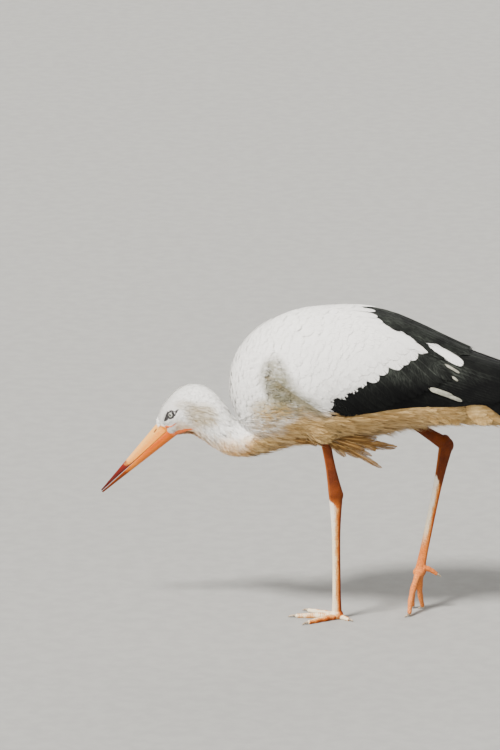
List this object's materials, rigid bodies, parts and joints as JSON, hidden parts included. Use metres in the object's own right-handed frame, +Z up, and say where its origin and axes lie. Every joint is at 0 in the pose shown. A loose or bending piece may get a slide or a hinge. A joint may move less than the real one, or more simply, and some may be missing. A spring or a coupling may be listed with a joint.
{
  "type": "white stork",
  "caption": "Life-size still model of a white stork taking a step with its neck lowered, its head forward and its bill pointing down.",
  "frame": {"origin": "on the floor, under the middle of the bird's bounding box", "axes": "-X towards the bill, -Y the bird's left side, +Z up"},
  "size_m": [0.7844, 0.1884, 0.5107],
  "materials": {
    "plumage_white": "soft matte white feathers, cream on the belly and under the tail",
    "plumage_black": "black flight feathers with a faint grey sheen",
    "bill": "satin orange-red horn, paler at the base of the ridge",
    "leg_skin": "scaled orange-red skin, dusted pale down the front",
    "claw": "dull dark horn",
    "eye": "wet glossy eye, pale grey iris with a black pupil"
  },
  "bodies": {
    "root": {"head": "plumage_white", "neck_upper": "plumage_white", "neck_lower": "plumage_white", "trunk": "plumage_white", "tail": "plumage_white", "wing_left_coverts": "plumage_white", "wing_left_flight": "plumage_black", "eye_left": "eye", "thigh_left": "plumage_white", "shank_left": "leg_skin", "tarsus_left": "leg_skin", "foot_left": "leg_skin", "claw_left_1": "claw", "claw_left_2": "claw", "claw_left_3": "claw", "claw_left_4": "claw", "wing_right_coverts": "plumage_white", "wing_right_flight": "plumage_black", "eye_right": "eye", "thigh_right": "plumage_white", "shank_right": "leg_skin", "tarsus_right": "leg_skin", "foot_right": "leg_skin", "claw_right_1": "claw", "claw_right_2": "claw", "claw_right_3": "claw", "claw_right_4": "claw", "bill_upper": "bill", "bill_lower": "bill"}
  },
  "joints": []
}
